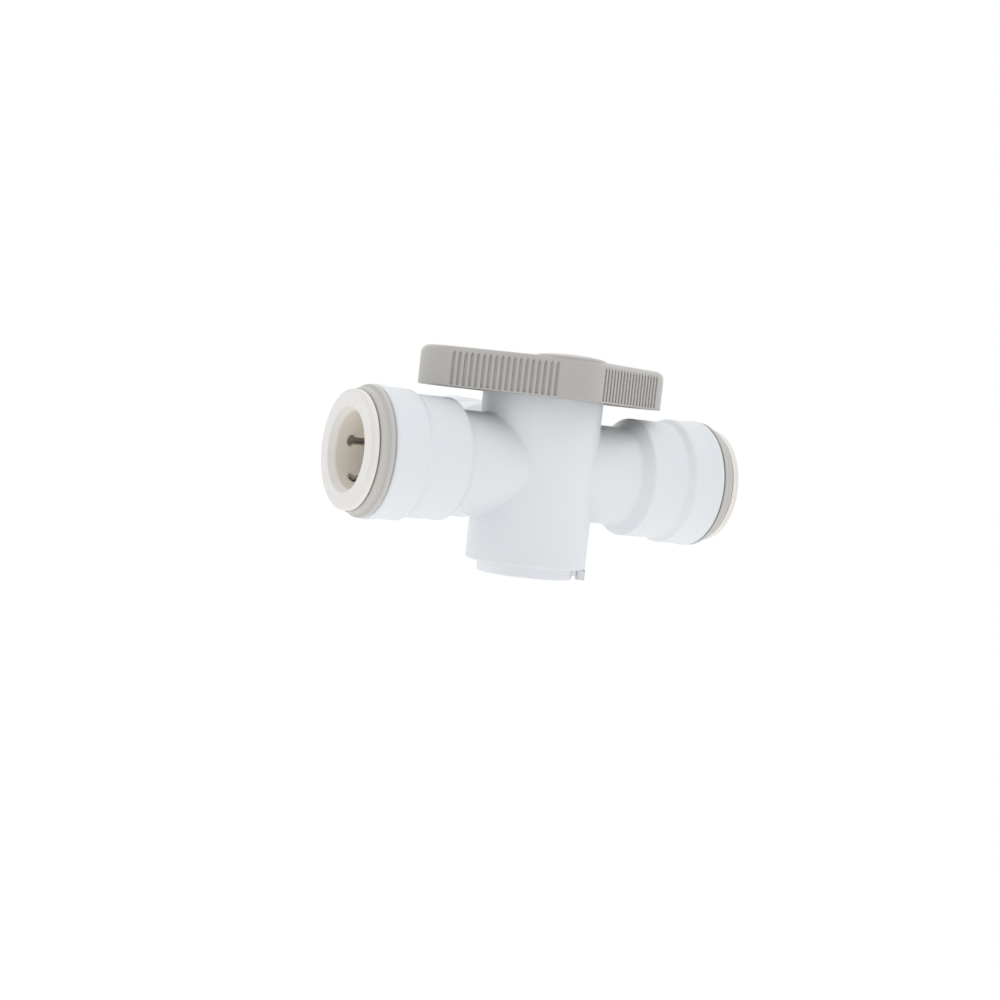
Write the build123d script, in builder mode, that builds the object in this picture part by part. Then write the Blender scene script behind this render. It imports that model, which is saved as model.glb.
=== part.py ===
"""Three-way bypass valve for push-fit plastic tube, in millimetres.

A moulded body carries a run of two ports and a third port at the rear. A T-bored ball in its
barrel is turned by the ribbed handle on top, and a plug closes the barrel underneath. Each port
is a push-fit cartridge: end cap, slit collet with steel teeth, spacer and sealing ring.

+X is the run, to the right, +Y points out of the rear port and +Z up the barrel. The origin is
on the barrel's axis, on the foot of the bottom plug.
"""
import os
from math import cos, degrees, radians, sin, sqrt

from build123d import *

# Driving dimensions: tube, waterway and the turning ball
tube_bore_radius = 8.05
waterway_radius = 5.0
ball_lip = 5.2
ball_clearance = 0.2
barrel_wall = 2.9
seat_wall = 1.65
seat_clearance = 0.05
seat_bore_step = 0.1
seat_to_ball = 0.1
seat_spread = 0.85
seat_depth = 2.0

# Driving dimensions: stations along a port, outwards from the barrel's axis
port_web = 4.6
tube_seat_length = 6.5
seal_chamber_length = 8.5
grip_chamber_length = 9.0
belly_lead = 0.45
shoulder_length = 2.15
step_length = 1.3

# Driving dimensions: walls and fits of a port, outwards from the tube
collet_clearance = 0.1
neck_wall = 2.95
seal_section = 2.6
seal_clearance = 0.05
seal_wall = 2.4
collet_wall = 1.45
throat_clearance = 0.3
arm_head_height = 1.0
head_clearance = 0.4
cap_sleeve_wall = 0.95
cap_fit = 0.05
socket_wall = 2.0
mouth_flare = 0.4
mouth_flare_length = 3.2

# Driving dimensions: end cap, collet and spacer
cap_lip_gap = 0.3
cap_lip_depth = 0.6
cap_rim_length = 0.9
cap_rim_proud = 0.1
cap_nose_step = 0.7
cap_nose_length = 1.8
cap_taper_length = 3.5
collet_gap = 0.3
flange_thickness = 1.7
flange_inset = 0.65
lead_in_rise = 0.95
lead_in_length = 1.4
arm_play = 0.75
arm_head_length = 2.8
arm_head_slope = 2.0
slit_count = 6
slit_width = 1.6
slit_eye_width = 2.6
slit_eye_length = 1.9
slit_eye_from_face = 4.8
slit_run_out = 1.0
slit_phase = 12.4
tooth_thickness = 0.5
tooth_lean = 0.6
tooth_width = 5.0
tooth_depth = 1.0
tooth_set = 1.0
tooth_clearance = 0.03
spacer_flange = 0.9
spacer_clearance = 0.05

# Driving dimensions: barrel, bottom plug, stem and handle
plug_foot = 2.5
plug_step = 0.2
plug_fit = 0.05
plug_length = 10.7
plug_neck_length = 2.0
plug_gap = 0.2
plug_seal_section = 2.0
plug_seal_below_step = 4.0
plug_recess_radius = 7.2
plug_recess_depth = 4.0
plug_web = 2.6
ear_reach = 2.35
ear_width = 4.0
ear_height = 1.9
ear_gap = 0.1
ear_angle = 5.0
stop_lug_angle = -28.0
stop_lug_width = 3.4
stop_lug_depth = 1.8
stop_lug_height = 2.2
roof_gap = 0.6
deck_thickness = 5.3
stem_radius = 4.0
stem_clearance = 0.05
collar_reach = 1.6
collar_thickness = 1.5
washer_thickness = 0.8
stem_play = 0.1
tang_width = 3.0
tang_depth = 2.0
tang_clearance = 0.05
stem_seal_section = 1.4
stem_seal_pitch = 2.1
drive_height = 6.5
drive_clearance = 0.03
handle_gap = 0.2
handle_lap = 0.5
handle_lap_clearance = 0.4
handle_height = 8.6
handle_rest_deg = -6.9
side_lobe_reach = 20.0
side_lobe_deg = 94.0
front_lobe_reach = 12.6
lobe_radius = 8.5
handle_wall = 2.2
handle_roof = 1.6
handle_rib = 1.6
hub_radius = 9.0
flute_count = 18
flute_pitch = 1.33
flute_width = 0.68
flute_depth = 0.4
flute_lip = 0.35
flute_point = 0.7
flute_below_top = 0.95
pad_radius = 7.7
pad_height = 1.0
stop_pin_radius = 0.9
stop_pin_reach = 7.6
stop_pin_length = 1.0
stop_clearance = 0.3
turn_deg = 90.0

# Driving dimensions: roundings
barrel_round = 0.7
deck_round = 0.2
saddle_fillet = 0.3
neck_fillet = 0.6
shoulder_round = 0.35
mouth_round = 0.7
plug_foot_round = 0.4
cap_round = 0.3
cap_fillet = 0.3
cap_nose_round = 0.8
flange_round = 0.6
lead_in_round = 1.2
lead_in_edge_round = 0.12
handle_round = 1.75
handle_foot_round = 0.3
groove_margin = 0.1

# Radii that follow, for the barrel and its ball
ball_radius = waterway_radius + ball_lip
chamber_radius = ball_radius + ball_clearance
barrel_radius = chamber_radius + barrel_wall
plug_bore_radius = chamber_radius + plug_step
plug_radius = plug_bore_radius - plug_fit
seat_bore_radius = waterway_radius + seat_bore_step
seat_radius = seat_bore_radius + seat_wall
seat_pocket_radius = seat_radius + seat_clearance
stem_bore_radius = stem_radius + stem_clearance
collar_radius = stem_radius + collar_reach

# Radii that follow, for a port
collet_bore_radius = tube_bore_radius + collet_clearance
lead_in_radius = collet_bore_radius + lead_in_rise
neck_radius = tube_bore_radius + neck_wall
seal_chamber_radius = collet_bore_radius + seal_section + seal_clearance
belly_radius = seal_chamber_radius + seal_wall
collet_radius = collet_bore_radius + collet_wall
throat_radius = collet_radius + throat_clearance
arm_head_radius = collet_radius + arm_head_height
cap_pocket_radius = arm_head_radius + head_clearance
cap_sleeve_radius = cap_pocket_radius + cap_sleeve_wall
grip_chamber_radius = cap_sleeve_radius + cap_fit
socket_radius = grip_chamber_radius + socket_wall
mouth_radius = socket_radius + mouth_flare
cap_rim_radius = socket_radius + cap_rim_proud
cap_nose_radius = cap_rim_radius - cap_nose_step
flange_radius = cap_nose_radius - flange_inset

# Stations that follow, along a port
seat_front_at = seat_radius + seat_spread
seat_floor_at = chamber_radius + seat_depth
tube_stop_at = seat_floor_at + port_web
seal_floor_at = tube_stop_at + tube_seat_length
seal_chamber_end = seal_floor_at + seal_chamber_length
mouth_at = seal_chamber_end + grip_chamber_length
belly_at = seal_floor_at - belly_lead
shoulder_at = belly_at - shoulder_length
cap_rim_at = mouth_at + cap_lip_gap
cap_step_at = cap_rim_at + cap_rim_length
cap_face_at = cap_step_at + cap_nose_length
flange_back_at = cap_face_at + collet_gap
collet_face_at = flange_back_at + flange_thickness
spacer_end_at = seal_chamber_end + spacer_flange
cap_end_at = spacer_end_at + spacer_clearance
arm_end_at = cap_end_at + arm_play
arm_head_at = arm_end_at + arm_head_length
slit_eye_at = collet_face_at - slit_eye_from_face
slit_run = slit_eye_at - arm_end_at + slit_run_out
tooth_at = arm_end_at + tooth_set
slit_spacing = 360 / slit_count

# Heights that follow, from the plug's foot
rim_height = plug_foot
plug_step_height = plug_foot + plug_length - plug_neck_length
plug_top_height = plug_foot + plug_length
axis_height = plug_top_height + plug_gap + ball_radius
roof_height = axis_height + ball_radius + roof_gap
deck_height = roof_height + deck_thickness
washer_height = roof_height - stem_play - washer_thickness
collar_height = washer_height - collar_thickness
ball_flat_height = collar_height - stem_play
slot_floor_height = ball_flat_height - tang_depth
handle_foot_height = deck_height - handle_lap
stem_top_height = handle_foot_height + drive_height
stem_seal_height = (roof_height + deck_height - stem_seal_pitch) / 2

CENTRE = Vector(0, 0, axis_height)
UP = Vector(0, 0, 1)
PORTS = {"left": Vector(-1, 0, 0), "right": Vector(1, 0, 0), "rear": Vector(0, 1, 0)}


def outward(way, angle):
    """The direction away from a port's axis at an angle round it, from the level up."""
    level = Vector(abs(way.Y), abs(way.X), 0)
    return level * cos(radians(angle)) + UP * sin(radians(angle))


def section_plane(way, angle=90):
    """The plane of a port's half section: x is the distance from the barrel's axis, y the radius."""
    return Plane(origin=CENTRE, x_dir=way, z_dir=way.cross(outward(way, angle)))


def facing_plane(way, angle):
    """A plane through the port's axis that faces outwards at an angle round it."""
    return Plane(origin=CENTRE, x_dir=way, z_dir=outward(way, angle))


def port_axis(way):
    """The line that a port's round pieces turn about."""
    return Axis(CENTRE, way)


def corner(sketch, station, radius):
    """The vertex of a section nearest to a station and a radius."""
    return sketch.vertices().sort_by_distance((station, radius))[0]


def tooth_corners(inner, grow):
    """Corners of a tooth's leaning section, down to an inner radius and grown by a clearance."""
    root = collet_bore_radius + tooth_depth + grow
    foot = tooth_at - tooth_lean / tooth_depth * (root - inner)
    return [
        (foot - grow, inner),
        (tooth_at - grow, root),
        (tooth_at + tooth_thickness + grow, root),
        (foot + tooth_thickness + grow, inner),
    ]


def flank_plane(start, end):
    """The plane of the flank that is tangent to two lobes, start to end: x runs along it and y up."""
    along = (end - start).normalized()
    outside = along.cross(UP)
    return Plane(origin=(start + end) / 2 + outside * lobe_radius, x_dir=along, z_dir=outside)


os.makedirs("parts", exist_ok=True)

# Valve body: barrel and three sockets moulded as one, cored for ball, seats, seals and cartridges
with BuildPart() as valve_body:
    with BuildSketch(Plane.XY.offset(rim_height)):
        Circle(barrel_radius)
    extrude(amount=deck_height - rim_height)
    fillet(valve_body.faces().sort_by(Axis.Z)[0].edges(), barrel_round)
    fillet(valve_body.faces().sort_by(Axis.Z)[-1].edges(), deck_round)
    for way in PORTS.values():
        with BuildSketch(section_plane(way)) as section:
            with BuildLine():
                Polyline(
                    (0, 0),
                    (0, neck_radius),
                    (shoulder_at, neck_radius),
                    (belly_at, belly_radius),
                    (seal_chamber_end, belly_radius),
                    (seal_chamber_end + step_length, socket_radius),
                    (mouth_at - mouth_flare_length, socket_radius),
                    (mouth_at, mouth_radius),
                    (mouth_at, 0),
                    close=True,
                )
            make_face()
            fillet(corner(section, shoulder_at, neck_radius), neck_fillet)
            fillet(corner(section, belly_at, belly_radius), shoulder_round)
            fillet(corner(section, mouth_at, mouth_radius), mouth_round)
        revolve(axis=port_axis(way))
    fillet(valve_body.edges().filter_by(GeomType.BSPLINE), saddle_fillet)
    with BuildSketch(Plane.XY.offset(rim_height)):
        Circle(plug_bore_radius)
    extrude(amount=plug_step_height - rim_height, mode=Mode.SUBTRACT)
    with BuildSketch(Plane.XY.offset(rim_height)):
        Circle(chamber_radius)
    extrude(amount=roof_height - rim_height, mode=Mode.SUBTRACT)
    with BuildSketch(Plane.XY.offset(roof_height)):
        Circle(stem_bore_radius)
    extrude(amount=deck_thickness, mode=Mode.SUBTRACT)
    for way in PORTS.values():
        with BuildSketch(section_plane(way)):
            with BuildLine():
                Polyline(
                    (waterway_radius, 0),
                    (waterway_radius, seat_pocket_radius),
                    (seat_floor_at, seat_pocket_radius),
                    (seat_floor_at, waterway_radius),
                    (tube_stop_at, waterway_radius),
                    (tube_stop_at, tube_bore_radius),
                    (seal_floor_at, tube_bore_radius),
                    (seal_floor_at, seal_chamber_radius),
                    (seal_chamber_end, seal_chamber_radius),
                    (seal_chamber_end, grip_chamber_radius),
                    (mouth_at, grip_chamber_radius),
                    (mouth_at, 0),
                    close=True,
                )
            make_face()
        revolve(axis=port_axis(way), mode=Mode.SUBTRACT)
    # The handle's stop pin runs in an arc of groove in the deck, centred over the rear port
    groove_half_deg = turn_deg + degrees((stop_pin_radius + stop_clearance) / stop_pin_reach)
    groove_start = PORTS["rear"].rotate(Axis.Z, -groove_half_deg)
    with BuildSketch(Plane(origin=(0, 0, 0), x_dir=groove_start, z_dir=groove_start.cross(UP))):
        with Locations((stop_pin_reach, deck_height)):
            Rectangle(
                2 * (stop_pin_radius + stop_clearance),
                2 * (stop_pin_length - handle_gap + stop_clearance),
            )
    revolve(axis=Axis.Z, revolution_arc=2 * groove_half_deg, mode=Mode.SUBTRACT)
    # A lug under the rim stops the plug's ear
    with BuildSketch(Plane.XY.offset(rim_height)):
        with PolarLocations(barrel_radius - stop_lug_depth / 2, 1, start_angle=stop_lug_angle):
            Rectangle(stop_lug_depth, stop_lug_width)
    extrude(amount=-stop_lug_height)
valve_body.part.label = "valve_body"
export_step(valve_body.part, "parts/valve_body.step")

# Bottom plug: turned into the barrel's open end, with a ring groove, a grip web and a bayonet ear
with BuildPart() as bottom_plug:
    with BuildSketch(Plane.XZ) as section:
        with BuildLine():
            Polyline(
                (0, 0),
                (plug_radius, 0),
                (plug_radius, plug_step_height),
                (chamber_radius - plug_fit, plug_step_height),
                (chamber_radius - plug_fit, plug_top_height),
                (0, plug_top_height),
                close=True,
            )
        make_face()
        fillet(corner(section, plug_radius, 0), plug_foot_round)
    revolve(axis=Axis.Z)
    with BuildSketch(Plane.XZ):
        with Locations((plug_radius, plug_step_height - plug_seal_below_step)):
            Rectangle(
                2 * (plug_seal_section + groove_margin - plug_fit),
                plug_seal_section + 2 * groove_margin,
            )
    revolve(axis=Axis.Z, mode=Mode.SUBTRACT)
    with BuildSketch(Plane.XY):
        Circle(plug_recess_radius)
        Rectangle(2 * plug_recess_radius, plug_web, mode=Mode.SUBTRACT)
    extrude(amount=plug_recess_depth, mode=Mode.SUBTRACT)
    with BuildSketch(Plane.XY.offset(rim_height - ear_gap)):
        with PolarLocations(plug_radius, 1, start_angle=ear_angle):
            Rectangle(2 * ear_reach, ear_width)
    extrude(amount=-ear_height)
bottom_plug.part.label = "bottom_plug"
export_step(bottom_plug.part, "parts/bottom_plug.step")

# Plug seal: rubber ring in the plug's groove
with BuildPart() as plug_seal:
    with BuildSketch(Plane.XZ):
        with Locations((plug_radius - plug_seal_section / 2, plug_step_height - plug_seal_below_step)):
            Circle(plug_seal_section / 2)
    revolve(axis=Axis.Z)
plug_seal.part.label = "plug_seal"
export_step(plug_seal.part, "parts/plug_seal.step")

# Diverter ball: sphere with a T of waterways, flat and slotted on top for the stem
with BuildPart() as diverter_ball:
    with Locations(CENTRE):
        Sphere(ball_radius)
    with BuildSketch(Plane.XY.offset(ball_flat_height)):
        Circle(ball_radius)
    extrude(amount=ball_radius, mode=Mode.SUBTRACT)
    with BuildSketch(Plane.XY.offset(slot_floor_height).rotated((0, 0, handle_rest_deg))):
        Rectangle(2 * ball_radius, tang_width + 2 * tang_clearance)
    extrude(amount=tang_depth, mode=Mode.SUBTRACT)
    run_way = Vector(1, 0, 0).rotate(Axis.Z, handle_rest_deg)
    with BuildSketch(Plane(origin=CENTRE, z_dir=run_way)):
        Circle(waterway_radius)
    extrude(amount=ball_radius, both=True, mode=Mode.SUBTRACT)
    branch_way = Vector(0, -1, 0).rotate(Axis.Z, handle_rest_deg)
    with BuildSketch(Plane(origin=CENTRE, z_dir=branch_way)):
        Circle(waterway_radius)
    extrude(amount=ball_radius, mode=Mode.SUBTRACT)
diverter_ball.part.label = "diverter_ball"
export_step(diverter_ball.part, "parts/diverter_ball.step")

# Ball stem: tang in the ball, collar under the deck, two ring grooves and a square for the handle
drive_side = stem_radius * sqrt(2)
with BuildPart() as ball_stem:
    with BuildSketch(Plane.XZ):
        with BuildLine():
            Polyline(
                (0, collar_height),
                (collar_radius, collar_height),
                (collar_radius, washer_height),
                (stem_radius, washer_height),
                (stem_radius, deck_height),
                (0, deck_height),
                close=True,
            )
        make_face()
        for level in (stem_seal_height, stem_seal_height + stem_seal_pitch):
            with Locations((stem_radius, level)):
                Rectangle(
                    2 * (stem_seal_section + groove_margin),
                    stem_seal_section + 2 * groove_margin,
                    mode=Mode.SUBTRACT,
                )
    revolve(axis=Axis.Z)
    with BuildSketch(Plane.XY.offset(collar_height).rotated((0, 0, handle_rest_deg))):
        Circle(collar_radius)
        Rectangle(2 * collar_radius, tang_width, mode=Mode.INTERSECT)
    extrude(amount=-(tang_depth + stem_play - tang_clearance))
    with BuildSketch(Plane.XY.offset(deck_height).rotated((0, 0, handle_rest_deg))):
        Rectangle(drive_side, drive_side)
    extrude(amount=stem_top_height - deck_height)
ball_stem.part.label = "ball_stem"
export_step(ball_stem.part, "parts/ball_stem.step")

# Stem washer: slippery ring between the stem's collar and the roof of the chamber
with BuildPart() as stem_washer:
    with BuildSketch(Plane.XY.offset(washer_height)):
        Circle(collar_radius)
        Circle(stem_bore_radius, mode=Mode.SUBTRACT)
    extrude(amount=washer_thickness)
stem_washer.part.label = "stem_washer"
export_step(stem_washer.part, "parts/stem_washer.step")

# Stem seals: two rubber rings in the stem's grooves
for name, level in (
    ("lower_stem_seal", stem_seal_height),
    ("upper_stem_seal", stem_seal_height + stem_seal_pitch),
):
    with BuildPart() as stem_seal:
        with BuildSketch(Plane.XZ):
            with Locations((stem_radius - stem_seal_section / 2, level)):
                Circle(stem_seal_section / 2)
        revolve(axis=Axis.Z)
    stem_seal.part.label = name
    export_step(stem_seal.part, f"parts/{name}.step")

# Handle: three lobes joined by fluted flanks, cored underneath round a hub with a square socket
handle_plane = Plane.XY.offset(handle_foot_height).rotated((0, 0, handle_rest_deg))
front_lobe = Vector(0, -front_lobe_reach)
right_lobe = Vector(0, -side_lobe_reach).rotate(Axis.Z, side_lobe_deg)
left_lobe = Vector(0, -side_lobe_reach).rotate(Axis.Z, -side_lobe_deg)
lobes = [left_lobe, front_lobe, right_lobe]
rear_flute_count = int((right_lobe - left_lobe).length / flute_pitch)
left_foot, front_foot, right_foot = [handle_plane.from_local_coords(lobe) for lobe in lobes]
flanks = [
    (left_foot, front_foot, flute_count),
    (front_foot, right_foot, flute_count),
    (right_foot, left_foot, rear_flute_count),
]
flute_top = handle_height - flute_below_top
with BuildPart() as handle:
    with BuildSketch(handle_plane):
        with Locations(*lobes):
            Circle(lobe_radius)
        make_hull()
    extrude(amount=handle_height)
    fillet(handle.faces().sort_by(Axis.Z)[-1].edges(), handle_round)
    fillet(handle.faces().sort_by(Axis.Z)[0].edges(), handle_foot_round)
    for start, end, count in flanks:
        with BuildSketch(flank_plane(start, end)):
            with GridLocations(flute_pitch, flute_pitch, count, 1):
                Polygon(
                    (-flute_width / 2, flute_lip),
                    (flute_width / 2, flute_lip),
                    (flute_width / 2, flute_top - flute_point),
                    (0, flute_top),
                    (-flute_width / 2, flute_top - flute_point),
                    align=None,
                )
        extrude(amount=flute_depth, both=True, mode=Mode.SUBTRACT)
    with BuildSketch(handle_plane):
        with Locations(*lobes):
            Circle(lobe_radius - handle_wall)
        make_hull()
        Circle(hub_radius, mode=Mode.SUBTRACT)
        for lobe in lobes:
            with Locations(Plane(origin=lobe / 2, x_dir=lobe, z_dir=UP)):
                Rectangle(lobe.length + 2 * lobe_radius, handle_rib, mode=Mode.SUBTRACT)
    extrude(amount=handle_height - handle_roof, mode=Mode.SUBTRACT)
    with BuildSketch(handle_plane):
        Rectangle(drive_side + 2 * drive_clearance, drive_side + 2 * drive_clearance)
    extrude(amount=drive_height + drive_clearance, mode=Mode.SUBTRACT)
    # The skirt laps over the deck's edge all round, and the stop pin stands down from the hub
    with BuildSketch(handle_plane):
        Circle(barrel_radius + handle_lap_clearance)
    extrude(amount=handle_lap + handle_gap, mode=Mode.SUBTRACT)
    with BuildSketch(handle_plane.offset(handle_lap + handle_gap)):
        with Locations((0, stop_pin_reach)):
            Circle(stop_pin_radius)
    extrude(amount=-stop_pin_length)
    # A low domed pad stands on the front lobe, its foot sunk below the lobe's rounded brow
    pad_foot = handle_height - handle_roof / 2
    with BuildSketch(Plane(origin=front_foot, x_dir=(1, 0, 0), z_dir=(0, -1, 0))):
        with BuildLine():
            dome = EllipticalCenterArc((0, handle_height), pad_radius, pad_height, arc_size=90)
            Polyline(dome @ 1, (0, pad_foot), (pad_radius, pad_foot), dome @ 0)
        make_face()
    revolve(axis=Axis(front_foot, UP))
handle.part.label = "handle"
export_step(handle.part, "parts/handle.step")

# The pieces of each port's cartridge, alike at all three ports
for port, way in PORTS.items():
    # Ball seat: slippery ring in a pocket of the chamber, dished to the ball
    with BuildPart() as ball_seat:
        with BuildSketch(section_plane(way)):
            with BuildLine():
                Polyline(
                    (seat_front_at, seat_bore_radius),
                    (seat_front_at, seat_radius),
                    (seat_floor_at, seat_radius),
                    (seat_floor_at, seat_bore_radius),
                    close=True,
                )
            make_face()
            Circle(ball_radius + seat_to_ball, mode=Mode.SUBTRACT)
        revolve(axis=port_axis(way))
    ball_seat.part.label = f"{port}_ball_seat"
    export_step(ball_seat.part, f"parts/{port}_ball_seat.step")

    # Tube seal: rubber ring on the floor of the seal chamber, drawn as squeezed on the tube
    with BuildPart() as tube_seal:
        with BuildSketch(section_plane(way)):
            with Locations((seal_floor_at + seal_section / 2, collet_bore_radius + seal_section / 2)):
                Circle(seal_section / 2)
        revolve(axis=port_axis(way))
    tube_seal.part.label = f"{port}_tube_seal"
    export_step(tube_seal.part, f"parts/{port}_tube_seal.step")

    # Seal spacer: ring that holds the seal down, with a flange under the end cap's sleeve
    with BuildPart() as seal_spacer:
        with BuildSketch(section_plane(way)):
            with BuildLine():
                Polyline(
                    (seal_floor_at + seal_section + spacer_clearance, collet_bore_radius),
                    (seal_floor_at + seal_section + spacer_clearance, seal_chamber_radius - spacer_clearance),
                    (seal_chamber_end, seal_chamber_radius - spacer_clearance),
                    (seal_chamber_end, grip_chamber_radius - spacer_clearance),
                    (spacer_end_at, grip_chamber_radius - spacer_clearance),
                    (spacer_end_at, collet_bore_radius),
                    close=True,
                )
            make_face()
        revolve(axis=port_axis(way))
    seal_spacer.part.label = f"{port}_seal_spacer"
    export_step(seal_spacer.part, f"parts/{port}_seal_spacer.step")

    # End cap: stepped grey ring on the mouth, with a sleeve whose taper closes the collet's arms
    with BuildPart() as end_cap:
        with BuildSketch(section_plane(way)) as section:
            with BuildLine():
                Polyline(
                    (cap_end_at, cap_pocket_radius),
                    (cap_end_at, cap_sleeve_radius),
                    (mouth_at, cap_sleeve_radius),
                    (mouth_at, socket_radius - cap_lip_depth),
                    (cap_rim_at, socket_radius - cap_lip_depth),
                    (cap_rim_at, cap_rim_radius),
                    (cap_step_at, cap_rim_radius),
                    (cap_step_at, cap_nose_radius),
                    (cap_face_at, cap_nose_radius),
                    (cap_face_at, throat_radius),
                    (mouth_at, throat_radius),
                    (mouth_at - cap_taper_length, cap_pocket_radius),
                    close=True,
                )
            make_face()
            fillet(corner(section, cap_step_at, cap_rim_radius), cap_round)
            fillet(corner(section, cap_step_at, cap_nose_radius), cap_fillet)
            fillet(corner(section, cap_face_at, cap_nose_radius), cap_nose_round)
        revolve(axis=port_axis(way))
    end_cap.part.label = f"{port}_end_cap"
    export_step(end_cap.part, f"parts/{port}_end_cap.step")

    # Collet: flanged sleeve slit into arms, each with a head and a pocket for a steel tooth
    with BuildPart() as collet:
        with BuildSketch(section_plane(way)) as section:
            with BuildLine():
                Polyline(
                    (arm_end_at, collet_bore_radius),
                    (arm_end_at, arm_head_radius),
                    (arm_head_at, arm_head_radius),
                    (arm_head_at + arm_head_slope, collet_radius),
                    (flange_back_at, collet_radius),
                    (flange_back_at, flange_radius),
                    (collet_face_at, flange_radius),
                    (collet_face_at, lead_in_radius),
                    (collet_face_at - lead_in_length, collet_bore_radius),
                    close=True,
                )
            make_face()
            fillet(corner(section, collet_face_at, flange_radius), flange_round)
            fillet(corner(section, collet_face_at, lead_in_radius), lead_in_edge_round)
            fillet(corner(section, collet_face_at - lead_in_length, collet_bore_radius), lead_in_round)
        revolve(axis=port_axis(way))
        for i in range(slit_count):
            with BuildSketch(facing_plane(way, slit_phase + slit_spacing * i)):
                with Locations((slit_eye_at, 0)):
                    Ellipse(slit_eye_length / 2, slit_eye_width / 2)
                with Locations((slit_eye_at, 0)):
                    Rectangle(slit_run, slit_width, align=(Align.MAX, Align.CENTER))
            extrude(amount=flange_radius, mode=Mode.SUBTRACT)
            with BuildSketch(section_plane(way, slit_phase + slit_spacing * (i + 0.5))):
                with BuildLine():
                    Polyline(*tooth_corners(tube_bore_radius - tooth_depth, tooth_clearance), close=True)
                make_face()
            extrude(amount=tooth_width / 2 + tooth_clearance, both=True, mode=Mode.SUBTRACT)
    collet.part.label = f"{port}_collet"
    export_step(collet.part, f"parts/{port}_collet.step")

    # Grip teeth: steel plates leaning in from the arms, drawn level with the tube they hold
    with BuildPart() as grip_teeth:
        for i in range(slit_count):
            with BuildSketch(section_plane(way, slit_phase + slit_spacing * (i + 0.5))):
                with BuildLine():
                    Polyline(*tooth_corners(collet_bore_radius, 0), close=True)
                make_face()
            extrude(amount=tooth_width / 2, both=True)
    grip_teeth.part.label = f"{port}_grip_teeth"
    export_step(grip_teeth.part, f"parts/{port}_grip_teeth.step")
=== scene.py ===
"""The looks of a three-way bypass valve for push-fit tube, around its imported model, in metres.

The sections follow the valve as it is put together: body, ball and stem, seats, sealing rings, bottom
plug, handle, the cartridges of the three ports, and last the studio that it stands in.
"""
from math import radians

import bpy
import numpy as np
from mathutils import Matrix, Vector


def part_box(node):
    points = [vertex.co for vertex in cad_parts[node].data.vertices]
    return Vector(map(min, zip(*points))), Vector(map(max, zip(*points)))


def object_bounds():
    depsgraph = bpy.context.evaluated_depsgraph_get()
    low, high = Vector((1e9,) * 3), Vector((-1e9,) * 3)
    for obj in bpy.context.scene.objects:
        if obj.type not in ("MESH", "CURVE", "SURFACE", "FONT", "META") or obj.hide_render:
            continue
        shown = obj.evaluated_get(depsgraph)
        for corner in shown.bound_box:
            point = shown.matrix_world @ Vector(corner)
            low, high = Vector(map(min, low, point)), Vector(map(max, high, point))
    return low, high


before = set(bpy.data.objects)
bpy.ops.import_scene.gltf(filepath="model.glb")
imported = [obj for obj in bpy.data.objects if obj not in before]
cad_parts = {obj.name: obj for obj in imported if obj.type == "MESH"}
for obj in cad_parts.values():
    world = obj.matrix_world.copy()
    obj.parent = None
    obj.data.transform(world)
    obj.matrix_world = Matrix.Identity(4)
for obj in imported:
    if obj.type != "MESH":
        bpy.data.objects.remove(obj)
cad_low, cad_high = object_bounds()

# Valve body: one thick-walled moulding of white acetal, the barrel and its three stepped sockets.
# It comes from a spark-eroded steel mould, so its skin is satin, with a fine even grain, and the
# white clouds a very little where the melt cooled slower.
BODY_BRIGHT = (0.79, 0.812, 0.832, 1)
BODY_DULL = (0.765, 0.787, 0.807, 1)
BODY_ROUGHNESS = 0.42
BODY_SOFTNESS = 0.001
PLASTIC_SPECULAR = 0.5
CLOUD_SIZE = 0.018
PATCH_SIZE = 0.004
PATCH_GLOSS = 0.12
GRAIN_SIZE = 0.00022
GRAIN_GLOSS = 0.1
MOULD_GRAIN_DEPTH = 0.000012
NOISE_DETAIL = 3.0
NOISE_MIDDLE = 0.5
EDGE_SAMPLES = 8
MIX_FACTOR = 0
MIX_FIRST = 6
MIX_SECOND = 7
MIX_COLOUR = 2


class Wire:
    """One output among a shader's nodes: arithmetic on it adds Math nodes, node() adds any other."""

    def __init__(self, tree, socket=None):
        self.tree = tree
        self.socket = socket

    @staticmethod
    def put(value, socket):
        """Links a wire to a socket, or sets a plain value on it."""
        if isinstance(value, Wire):
            value.tree.links.new(value.socket, socket)
        else:
            socket.default_value = value

    def node(self, kind, settings=None, inputs=None, output=0):
        """A new node, its settings made first, then a value or a wire put on each named socket."""
        made = self.tree.nodes.new("ShaderNode" + kind)
        for name, value in (settings or {}).items():
            setattr(made, name, value)
        for name, value in (inputs or {}).items():
            self.put(value, made.inputs[name])
        return Wire(self.tree, made.outputs[output])

    def maths(self, operation, *terms):
        """A Math node on values or wires, in the order of its sockets."""
        return self.node("Math", {"operation": operation}, dict(enumerate(terms)))

    def __add__(self, other):
        return self.maths("ADD", self, other)

    def __sub__(self, other):
        return self.maths("SUBTRACT", self, other)

    def __rsub__(self, other):
        return self.maths("SUBTRACT", other, self)

    def __mul__(self, other):
        return self.maths("MULTIPLY", self, other)

    __radd__ = __add__
    __rmul__ = __mul__


def new_finish(name):
    """A new material, its Principled shader, and a wire that holds the place on the piece, in metres."""
    material = bpy.data.materials.new(name)
    material.use_nodes = True
    place = Wire(material.node_tree).node("TexCoord", output="Object")
    return material, material.node_tree.nodes["Principled BSDF"], place


def speckle(place, size, detail=NOISE_DETAIL):
    """Soft noise, from 0 to 1, whose blots are about one size across, in metres."""
    return place.node("TexNoise", {}, {"Vector": place, "Scale": 1 / size, "Detail": detail})


def swing(noise, amount):
    """An amount times noise about its middle, so that it raises and lowers a value alike."""
    return amount * (noise - NOISE_MIDDLE)


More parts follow.
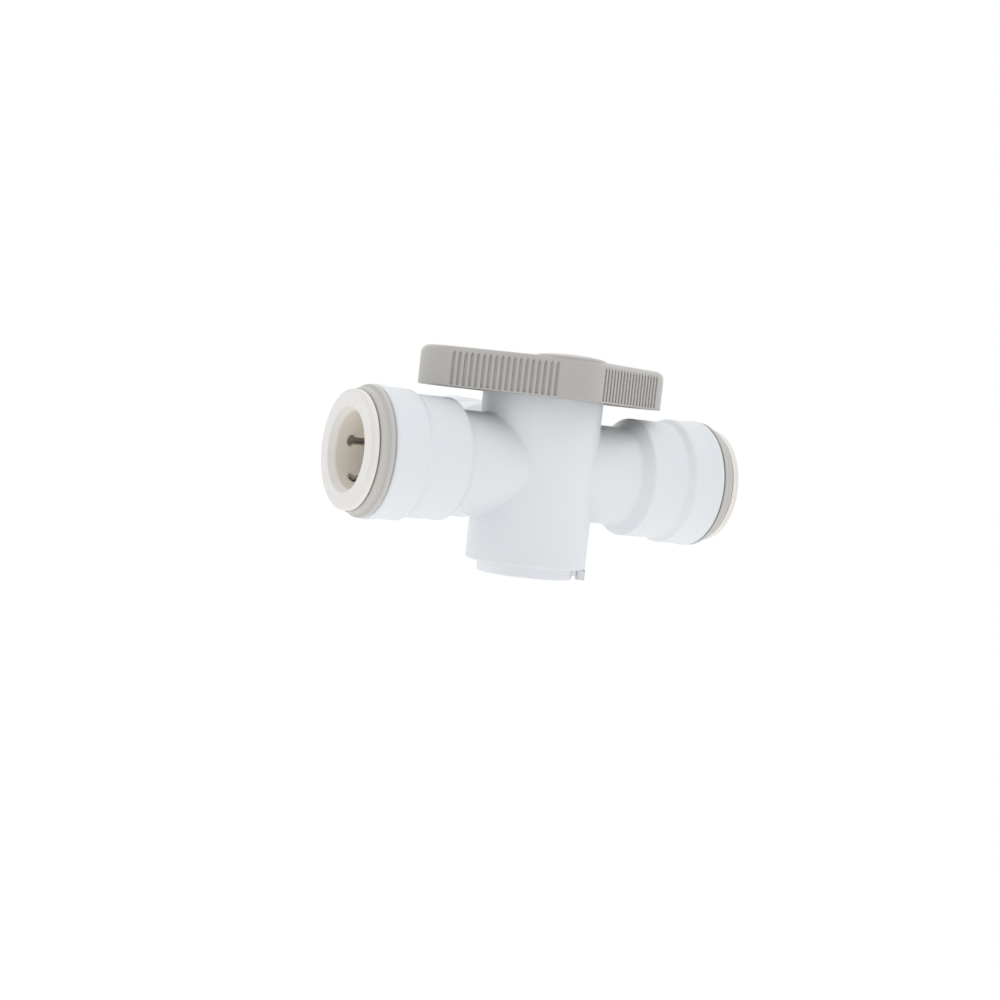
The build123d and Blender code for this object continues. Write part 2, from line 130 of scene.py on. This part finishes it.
def shade(mask, first, second):
    """A mix of two colours, the first where a mask is 0 and the second where it is 1.

    A Mix node has sockets of like names for each type of data, so those for colours go by number.
    """
    inputs = {MIX_FACTOR: mask, MIX_FIRST: first, MIX_SECOND: second}
    return mask.node("Mix", {"data_type": "RGBA"}, inputs, MIX_COLOUR)


def relief(height, depth, softness=0.0):
    """A bump with a depth from its lowest place to its highest, over edges rounded by any softness."""
    inputs = {"Strength": 1.0, "Distance": depth, "Height": height}
    if softness:
        inputs["Normal"] = height.node("Bevel", {"samples": EDGE_SAMPLES}, {"Radius": softness})
    return height.node("Bump", {}, inputs)


def feed(shader, **inputs):
    """Puts values or wires on a shader's sockets, whose names have underscores for spaces."""
    for name, value in inputs.items():
        Wire.put(value, shader.inputs[name.replace("_", " ")])


def dress(material, *nodes):
    """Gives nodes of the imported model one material, in place of the plain one that they came with."""
    for name in nodes:
        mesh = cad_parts[name].data
        mesh.materials.clear()
        mesh.materials.append(material)


def moulded(name, bright, dull, roughness, softness):
    """Moulded plastic: two close shades in broad clouds, a fine grain, soft edges and patchy gloss."""
    material, shader, place = new_finish(name)
    grain = speckle(place, GRAIN_SIZE)
    patch = speckle(place, PATCH_SIZE)
    feed(
        shader,
        Base_Color=shade(speckle(place, CLOUD_SIZE), bright, dull),
        Roughness=roughness + swing(patch, PATCH_GLOSS) + swing(grain, GRAIN_GLOSS),
        Normal=relief(grain, MOULD_GRAIN_DEPTH, softness),
        Specular_IOR_Level=PLASTIC_SPECULAR,
    )
    return material


white_acetal = moulded("white_acetal", BODY_BRIGHT, BODY_DULL, BODY_ROUGHNESS, BODY_SOFTNESS)
dress(white_acetal, "valve_body")

# Diverter ball and stem: turned from ivory acetal and polished, because the ball turns against its
# seats and the stem in its sealing rings. Working the valve leaves hairlines round the upright axis
# on both.
BALL_BRIGHT = (0.78, 0.765, 0.715, 1)
BALL_DULL = (0.70, 0.68, 0.62, 1)
BALL_ROUGHNESS = 0.2
HAIRLINE_SPACING = 0.00012
HAIRLINE_DEPTH = 0.000004
HAIRLINE_GLOSS = 0.16
RING_DETAIL = 2.0


def coordinate(place, letter):
    """One of a place's three coordinates, X, Y or Z."""
    return place.node("SeparateXYZ", {}, {"Vector": place}, letter)


def rings(along, spacing):
    """Noise that changes along one measure alone, so that it lies as fine rings on a turned face."""
    inputs = {"W": along, "Scale": 1 / spacing, "Detail": RING_DETAIL}
    return along.node("TexNoise", {"noise_dimensions": "1D"}, inputs)


def polished_ivory():
    """Polished ivory plastic with level hairlines, from noise along the height alone."""
    material, shader, place = new_finish("polished_ivory")
    hairline = rings(coordinate(place, "Z"), HAIRLINE_SPACING)
    feed(
        shader,
        Base_Color=shade(speckle(place, CLOUD_SIZE), BALL_BRIGHT, BALL_DULL),
        Roughness=BALL_ROUGHNESS + HAIRLINE_GLOSS * hairline,
        Normal=relief(hairline, HAIRLINE_DEPTH),
    )
    return material


dress(polished_ivory(), "diverter_ball", "ball_stem")

# Seats and stem washer: turned from waxy white fluoroplastic, soft enough to take up the ball.
# The lathe leaves fine rings about each port's axis on the seats. The washer is out of sight under
# the deck and shares their finish.
SEAT_BRIGHT = (0.84, 0.84, 0.83, 1)
SEAT_DULL = (0.77, 0.77, 0.76, 1)
SEAT_ROUGHNESS = 0.34
TURNING_SPACING = 0.00018
TURNING_DEPTH = 0.00001
TURNING_GLOSS = 0.14
TURNING_SHARE = 0.6
PORTS = ("left", "right", "rear")


def station(place):
    """The distance out along a port: the larger of x and y without signs, as ports lie on those axes."""
    x, y = (place.maths("ABSOLUTE", coordinate(place, letter)) for letter in "XY")
    return place.maths("MAXIMUM", x, y)


def turned(name, bright, dull, roughness):
    """Turned plastic: a grain, and fine rings round a port's axis, from noise along the port alone."""
    material, shader, place = new_finish(name)
    ring = rings(station(place), TURNING_SPACING)
    grain = speckle(place, GRAIN_SIZE)
    feed(
        shader,
        Base_Color=shade(speckle(place, CLOUD_SIZE), bright, dull),
        Roughness=roughness + swing(ring, TURNING_GLOSS) + swing(grain, GRAIN_GLOSS),
        Normal=relief(TURNING_SHARE * ring + (1 - TURNING_SHARE) * grain, TURNING_DEPTH),
        Specular_IOR_Level=PLASTIC_SPECULAR,
    )
    return material


waxy_white = turned("waxy_white", SEAT_BRIGHT, SEAT_DULL, SEAT_ROUGHNESS)
dress(waxy_white, "stem_washer", *[port + "_ball_seat" for port in PORTS])

# Sealing rings: black nitrile rubber, pressed in a split mould, dull and with a dusty bloom on it.
# Two ride in the stem's grooves, one in the plug's, and one lies in each port behind its spacer.
RUBBER_BLACK = (0.018, 0.018, 0.019, 1)
RUBBER_DUSTY = (0.05, 0.05, 0.052, 1)
RUBBER_ROUGHNESS = 0.56
RUBBER_DUST_SIZE = 0.0012
RUBBER_DUST_DETAIL = 5.0
RUBBER_DUST_GLOSS = 0.22
RUBBER_GRAIN_DEPTH = 0.00002


def black_rubber():
    """Black rubber, paler and duller where the dusty bloom lies on it."""
    material, shader, place = new_finish("black_rubber")
    dust = speckle(place, RUBBER_DUST_SIZE, RUBBER_DUST_DETAIL)
    feed(
        shader,
        Base_Color=shade(dust, RUBBER_BLACK, RUBBER_DUSTY),
        Roughness=RUBBER_ROUGHNESS + RUBBER_DUST_GLOSS * dust,
        Normal=relief(speckle(place, GRAIN_SIZE), RUBBER_GRAIN_DEPTH),
    )
    return material


dress(
    black_rubber(),
    "lower_stem_seal",
    "upper_stem_seal",
    "plug_seal",
    *[port + "_tube_seal" for port in PORTS],
)

# Bottom plug: moulded in the body's white acetal, but painted a shade lighter than the body as painted
# light from the glowing table beneath it. It is pushed up into the barrel's open end and turned by the
# web across its recess, until its ear meets the body's stop lug.
# The valve stands on its foot.
# Painted light: both of the plug's shades are lighter than the body's. They stand for the light that the
# table throws up under the plug.
PLUG_PAINTED_LIGHT_BRIGHT = (0.88, 0.9, 0.92, 1)
PLUG_PAINTED_LIGHT_DULL = (0.85, 0.87, 0.89, 1)
PLUG_SOFTNESS = 0.0002

plug_white_painted_light = moulded("plug_white_painted_light", PLUG_PAINTED_LIGHT_BRIGHT, PLUG_PAINTED_LIGHT_DULL, BODY_ROUGHNESS, PLUG_SOFTNESS)
dress(plug_white_painted_light, "bottom_plug")

# Handle: a three-lobed lever moulded in warm grey acetal and pressed on the stem's square. The mould
# opens upwards, so its flanks and flutes keep faint upright drag lines, and its top is polished.
HANDLE_BRIGHT = (0.475, 0.452, 0.425, 1)
HANDLE_DULL = (0.45, 0.427, 0.402, 1)
HANDLE_ROUGHNESS = 0.36
HANDLE_GRAIN_DEPTH = 0.000014
DRAG_STRETCH = 0.05
DRAG_SIZE = 0.00035
DRAG_GLOSS = 0.12
DRAG_SHARE = 0.5
POLISH_DEPTH = 0.0035
POLISH_FULL = 0.0015
POLISH_GLOSS = 0.24
handle_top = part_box("handle")[1].z


def fade(along, start, end):
    """A smooth step along one measure, from 0 at its start to 1 at its end."""
    inputs = {"Value": along, "From Min": start, "From Max": end}
    return along.node("MapRange", {"interpolation_type": "SMOOTHSTEP"}, inputs)


def drawn_grey():
    """Warm grey moulded plastic, with noise drawn out along the height as drag lines."""
    material, shader, place = new_finish("drawn_grey")
    drawn_out = place.node("Mapping", {}, {"Vector": place, "Scale": (1, 1, DRAG_STRETCH)})
    drag = speckle(drawn_out, DRAG_SIZE)
    grain = speckle(place, GRAIN_SIZE)
    polish = fade(coordinate(place, "Z"), handle_top - POLISH_DEPTH, handle_top - POLISH_FULL)
    drawn_roughness = HANDLE_ROUGHNESS + swing(drag, DRAG_GLOSS) + swing(grain, GRAIN_GLOSS)
    feed(
        shader,
        Base_Color=shade(speckle(place, CLOUD_SIZE), HANDLE_BRIGHT, HANDLE_DULL),
        Roughness=drawn_roughness - POLISH_GLOSS * polish,
        Normal=relief(DRAG_SHARE * drag + (1 - DRAG_SHARE) * grain, HANDLE_GRAIN_DEPTH),
        Specular_IOR_Level=PLASTIC_SPECULAR,
    )
    return material


dress(drawn_grey(), "handle")

# Cartridges: at each port a spacer holds the seal down, a stepped grey cap is welded to the mouth,
# and a slit collet of off-white acetal slides in the cap, with a steel tooth in each of its arms.
SPACER_BRIGHT = (0.76, 0.755, 0.74, 1)
SPACER_DULL = (0.72, 0.715, 0.70, 1)
SPACER_ROUGHNESS = 0.42
SPACER_SOFTNESS = 0.0002
CAP_BRIGHT = (0.58, 0.56, 0.53, 1)
CAP_DULL = (0.545, 0.525, 0.497, 1)
CAP_ROUGHNESS = 0.38
COLLET_FACE = (0.765, 0.74, 0.713, 1)
# Painted glow: the bore's colour is paler and warmer than the face's. It stands for light bounced inside
# the bore and let through its wall.
COLLET_BORE_PAINTED_GLOW = (0.94, 0.88, 0.79, 1)
PAINTED_GLOW_DEPTH = 0.0026
COLLET_ROUGHNESS = 0.4
COLLET_SOFTNESS = 0.0004
STEEL_BRIGHT = (0.66, 0.65, 0.63, 1)
STEEL_DULL = (0.52, 0.51, 0.49, 1)
STEEL_ROUGHNESS = 0.24
STEEL_GRAIN_DEPTH = 0.000006
BRUSHING_SPACING = 0.00005
BRUSHING_GLOSS = 0.16
collet_low, collet_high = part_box("right_collet")


def bored_white():
    """Off-white acetal, with a painted glow down the bore for light bounced inside it and let through
    the wall.
    """
    material, shader, place = new_finish("collet_white")
    along = station(place)
    # Painted glow, from none at the collet's face to full a little way down the bore.
    painted_glow = fade(along, collet_high.x, collet_high.x - PAINTED_GLOW_DEPTH)
    ring = rings(along, TURNING_SPACING)
    grain = speckle(place, GRAIN_SIZE)
    marks = TURNING_SHARE * ring + (1 - TURNING_SHARE) * grain
    feed(
        shader,
        Base_Color=shade(painted_glow, COLLET_FACE, COLLET_BORE_PAINTED_GLOW),
        Roughness=COLLET_ROUGHNESS + swing(ring, TURNING_GLOSS) + swing(grain, GRAIN_GLOSS),
        Normal=relief(marks, TURNING_DEPTH, COLLET_SOFTNESS),
        Specular_IOR_Level=PLASTIC_SPECULAR,
    )
    return material


def stamped_steel():
    """Stamped spring steel, brushed across each tooth by noise along the height alone."""
    material, shader, place = new_finish("stamped_steel")
    brushing = rings(coordinate(place, "Z"), BRUSHING_SPACING)
    feed(
        shader,
        Base_Color=shade(brushing, STEEL_BRIGHT, STEEL_DULL),
        Metallic=1.0,
        Roughness=STEEL_ROUGHNESS + BRUSHING_GLOSS * brushing,
        Normal=relief(brushing, STEEL_GRAIN_DEPTH),
    )
    return material


spacer_white = moulded("spacer_white", SPACER_BRIGHT, SPACER_DULL, SPACER_ROUGHNESS, SPACER_SOFTNESS)
cap_grey = turned("cap_grey", CAP_BRIGHT, CAP_DULL, CAP_ROUGHNESS)
dress(spacer_white, *[port + "_seal_spacer" for port in PORTS])
dress(cap_grey, *[port + "_end_cap" for port in PORTS])
dress(bored_white(), *[port + "_collet" for port in PORTS])
dress(stamped_steel(), *[port + "_grip_teeth" for port in PORTS])

# Studio: the valve stands on a frosted table lit from below, inside a tent of white cloth that glows
# all round. Four large lamps light the cloth: one low on the left, two higher up on the right, in
# front of the valve and behind it, and one overhead.
CAMERA_AZIMUTH = radians(-29.23)
CAMERA_ELEVATION = radians(2.26)
CAMERA_ROLL = radians(6.37)
CAMERA_DISTANCE = 0.43561
CAMERA_ASIDE = 0.00778
CAMERA_BELOW = 0.00704
CAMERA_LENS = 71.33
CAMERA_SENSOR = 36.0
CAMERA_NEAR = 0.01
FLOOR_HALF = 6.0
FLOOR_WHITE = (0.55, 0.55, 0.55, 1)
FLOOR_LIT = 0.9
FLOOR_GLOW = 0.56
TENT_WHITE = (1, 1, 1, 1)
TENT_COOL = (0.985, 1.0, 1.02, 1)
TENT_FAINT = 0.4
LEFT_LAMP = (radians(-90), radians(10), 1.2)
FRONT_LAMP = (radians(45), radians(45), 0.6)
BACK_LAMP = (radians(135), radians(45), 1.0)
OVERHEAD_LAMP = (0.0, radians(90), 0.5)
LAMPS = (LEFT_LAMP, FRONT_LAMP, BACK_LAMP, OVERHEAD_LAMP)
LAMP_SPREAD = 4.0
SEEN_RAYS = ("Is Camera Ray", "Is Glossy Ray", "Is Transmission Ray")
scene = bpy.context.scene


def way_to(azimuth, elevation):
    """The unit vector towards a direction: azimuth 0 is the front, along -y, and it grows towards +x."""
    return np.array(
        (
            np.sin(azimuth) * np.cos(elevation),
            -np.cos(azimuth) * np.cos(elevation),
            np.sin(elevation),
        )
    )


back = way_to(CAMERA_AZIMUTH, CAMERA_ELEVATION)
level = np.array((np.cos(CAMERA_AZIMUTH), np.sin(CAMERA_AZIMUTH), 0))
upright = np.cross(back, level)
rightwards = np.cos(CAMERA_ROLL) * level + np.sin(CAMERA_ROLL) * upright
upwards = np.cos(CAMERA_ROLL) * upright - np.sin(CAMERA_ROLL) * level
run_centre = np.array((0, 0, (collet_low.z + collet_high.z) / 2))
eye = run_centre + back * CAMERA_DISTANCE - rightwards * CAMERA_ASIDE - upwards * CAMERA_BELOW

camera = bpy.data.objects.new("camera", bpy.data.cameras.new("camera"))
camera.data.lens = CAMERA_LENS
camera.data.sensor_width = CAMERA_SENSOR
camera.data.clip_start = CAMERA_NEAR
turned_axes = np.column_stack((rightwards, upwards, back, eye))
camera.matrix_world = Matrix(np.vstack((turned_axes, (0, 0, 0, 1))).tolist())
scene.collection.objects.link(camera)
scene.camera = camera


def seen_straight(wire):
    """1 for a ray from the camera, or for one mirrored or let through on its way, and otherwise 0."""
    direct, mirrored, let_through = (wire.node("LightPath", output=kind) for kind in SEEN_RAYS)
    return wire.maths("MINIMUM", direct + mirrored + let_through, 1.0)


def table_top():
    """The table's white: mostly plain white to the camera, and to the valve a dull sheet that glows."""
    material = bpy.data.materials.new("table_top")
    material.use_nodes = True
    tree = material.node_tree
    tree.nodes.remove(tree.nodes["Principled BSDF"])
    wire = Wire(tree)
    sheet = wire.node("BsdfDiffuse", {}, {"Color": FLOOR_WHITE})
    glow = wire.node("Emission", {}, {"Color": TENT_WHITE, "Strength": FLOOR_GLOW})
    white = wire.node("Emission", {}, {"Color": TENT_WHITE, "Strength": 1.0})
    lit = wire.node("AddShader", {}, {0: sheet, 1: glow})
    mixed = wire.node("MixShader", {}, {0: FLOOR_LIT * seen_straight(wire), 1: lit, 2: white})
    Wire.put(mixed, tree.nodes["Material Output"].inputs["Surface"])
    return material


corners = FLOOR_HALF * np.array([(-1, -1, 0), (1, -1, 0), (1, 1, 0), (-1, 1, 0)], float)
corners[:, 2] = cad_low.z
floor_mesh = bpy.data.meshes.new("table")
floor_mesh.from_pydata(corners.tolist(), [], [(0, 1, 2, 3)])
floor_mesh.materials.append(table_top())
table = bpy.data.objects.new("table", floor_mesh)
scene.collection.objects.link(table)


def tent(world):
    """The tent's light: a level all round, and round each lamp the cosine from it raised to a power.

    A lamp is its turn from the camera's side, its height as an angle, and its strength.
    """
    world.use_nodes = True
    wire = Wire(world.node_tree)
    ray = wire.node("TexCoord", output="Generated")
    light = TENT_FAINT
    for turn, lift, strength in LAMPS:
        way = way_to(CAMERA_AZIMUTH + turn, lift)
        facing = wire.node("VectorMath", {"operation": "DOT_PRODUCT"}, {0: ray, 1: way}, "Value")
        light = light + strength * wire.maths("POWER", wire.maths("MAXIMUM", facing, 0.0), LAMP_SPREAD)
    seen = seen_straight(wire)
    background = world.node_tree.nodes["Background"]
    Wire.put(shade(seen, TENT_COOL, TENT_WHITE), background.inputs["Color"])
    Wire.put(light + seen * (1 - light), background.inputs["Strength"])


scene.world = bpy.data.worlds.new("tent")
tent(scene.world)
scene.view_settings.view_transform = "Standard"
